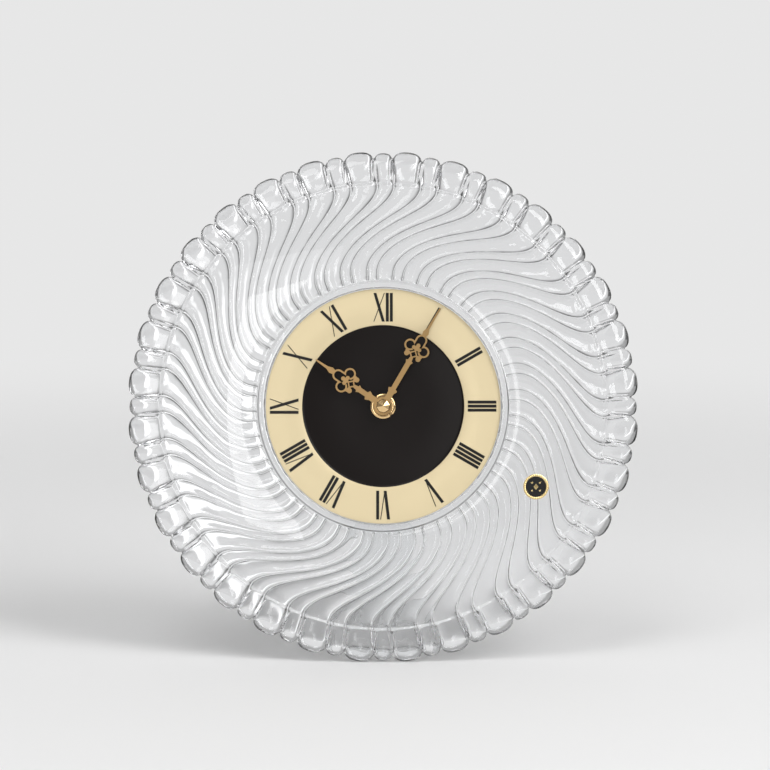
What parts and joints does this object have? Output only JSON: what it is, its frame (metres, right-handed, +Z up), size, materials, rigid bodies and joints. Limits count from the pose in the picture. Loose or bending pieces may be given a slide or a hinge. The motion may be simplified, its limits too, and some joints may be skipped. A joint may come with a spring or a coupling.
{
  "type": "crystal clock",
  "caption": "Free-standing quartz clock: round lobed pressed-glass plate with swirled ribs, inset dial with openwork hands, rear movement and folding easel leg.",
  "frame": {"origin": "centre of the assembly's footprint at rest, on the floor", "axes": "+Z up, -Y towards the viewer, so the dial faces -Y and leans back 10 degrees; +X to the viewer's right"},
  "size_m": [0.2768, 0.0652, 0.2726],
  "materials": {
    "crystal": "polished clear glass",
    "dial_black": "satin black lacquer",
    "dial_gold": "fine satin gold",
    "ink": "printed black",
    "seal_foil": "black and gold foil",
    "gasket_rubber": "matte",
    "nickel_steel": "nickel plated",
    "clear_acrylic": "clear moulded",
    "clear_rubber": "translucent soft",
    "case_plastic": "fine spark texture",
    "stack_brass": "polished turned",
    "hand_brass": "satin stamped",
    "gear_plastic": "moulded acetal",
    "motor_steel": "bare",
    "copper_wire": "enamelled",
    "board_green": "solder mask",
    "can_metal": "drawn can",
    "epoxy_black": "domed",
    "battery_jacket": "printed sleeve, bare",
    "magnet_ferrite": "sintered"
  },
  "bodies": {
    "housing": {"crystal_plate": "crystal", "dial_plate": "dial_black", "chapter_ring": "dial_gold", "hour_numerals": "ink", "foil_seal": "seal_foil", "rubber_gasket": "gasket_rubber", "easel_bracket": "nickel_steel", "hinge_pin": "nickel_steel", "movement_case": "case_plastic", "rear_cover": "case_plastic", "threaded_bush": "stack_brass", "dial_washer": "stack_brass", "fixing_nut": "stack_brass", "train_bridge": "gear_plastic", "stator_plate": "motor_steel", "coil_core": "motor_steel", "coil_bobbin": "gear_plastic", "coil_winding": "copper_wire", "circuit_board": "board_green", "timing_crystal_can": "can_metal", "chip_blob": "epoxy_black", "battery_cell": "battery_jacket", "positive_contact": "nickel_steel", "negative_contact": "nickel_steel"},
    "leg": {"easel_leg": "clear_acrylic", "foot_pad": "clear_rubber"},
    "minute_group": {"minute_arbor": "gear_plastic", "clutch_spring": "nickel_steel", "minute_hub": "stack_brass", "minute_hand": "hand_brass", "cap_nut": "stack_brass"},
    "hour_group": {"hour_wheel": "gear_plastic", "hour_hub": "stack_brass", "hour_hand": "hand_brass"},
    "minute_wheel": {"minute_wheel": "gear_plastic"},
    "setting_knob": {"setting_knob": "gear_plastic"},
    "centre_wheel": {"centre_wheel": "gear_plastic"},
    "third_wheel": {"third_wheel": "gear_plastic"},
    "fourth_wheel": {"fourth_wheel": "gear_plastic"},
    "fifth_wheel": {"fifth_wheel": "gear_plastic"},
    "rotor": {"rotor_pinion": "gear_plastic", "rotor_magnet": "magnet_ferrite"}
  },
  "joints": [
    {"name": "leg_fold", "type": "hinge", "parent": "housing", "child": "leg", "pos_m": [0, -0.0057, 0.08611], "axis": [1, 0, 0], "range_deg": [-24, 0]},
    {"name": "minute_spin", "type": "hinge", "parent": "housing", "child": "minute_group", "pos_m": [0, -0.01474, 0.13848], "axis": [0, -0.9848, 0.1736], "continuous": true},
    {"name": "hour_spin", "type": "hinge", "parent": "housing", "child": "hour_group", "pos_m": [0, -0.01474, 0.13848], "axis": [0, -0.9848, 0.1736], "continuous": true},
    {"name": "minute_wheel_spin", "type": "hinge", "parent": "housing", "child": "minute_wheel", "pos_m": [-0.01015, -0.0141, 0.14212], "axis": [0, -0.9848, 0.1736], "continuous": true},
    {"name": "knob_spin", "type": "hinge", "parent": "housing", "child": "setting_knob", "pos_m": [-0.01202, -0.01225, 0.15259], "axis": [0, -0.9848, 0.1736], "continuous": true},
    {"name": "fourth_spin", "type": "hinge", "parent": "housing", "child": "fourth_wheel", "pos_m": [0.00523, -0.0123, 0.15235], "axis": [0, -0.9848, 0.1736], "continuous": true},
    {"name": "centre_spin", "type": "hinge", "parent": "housing", "child": "centre_wheel", "pos_m": [0, -0.01474, 0.13848], "axis": [0, -0.9848, 0.1736], "continuous": true},
    {"name": "third_spin", "type": "hinge", "parent": "housing", "child": "third_wheel", "pos_m": [0.00826, -0.01374, 0.14417], "axis": [0, -0.9848, 0.1736], "continuous": true},
    {"name": "fifth_spin", "type": "hinge", "parent": "housing", "child": "fifth_wheel", "pos_m": [0.0111, -0.01192, 0.15446], "axis": [0, -0.9848, 0.1736], "continuous": true},
    {"name": "rotor_spin", "type": "hinge", "parent": "housing", "child": "rotor", "pos_m": [0.01636, -0.01226, 0.15257], "axis": [0, -0.9848, 0.1736], "continuous": true}
  ],
  "couplings": [
    {"joint": "hour_spin", "follows": "minute_spin", "ratio": 0.083333},
    {"joint": "minute_wheel_spin", "follows": "minute_spin", "ratio": -0.33333},
    {"joint": "knob_spin", "follows": "minute_spin", "ratio": 1},
    {"joint": "centre_spin", "follows": "fourth_spin", "ratio": 0.016667},
    {"joint": "third_spin", "follows": "fourth_spin", "ratio": -0.13333},
    {"joint": "fifth_spin", "follows": "fourth_spin", "ratio": -5},
    {"joint": "rotor_spin", "follows": "fourth_spin", "ratio": 30}
  ]
}
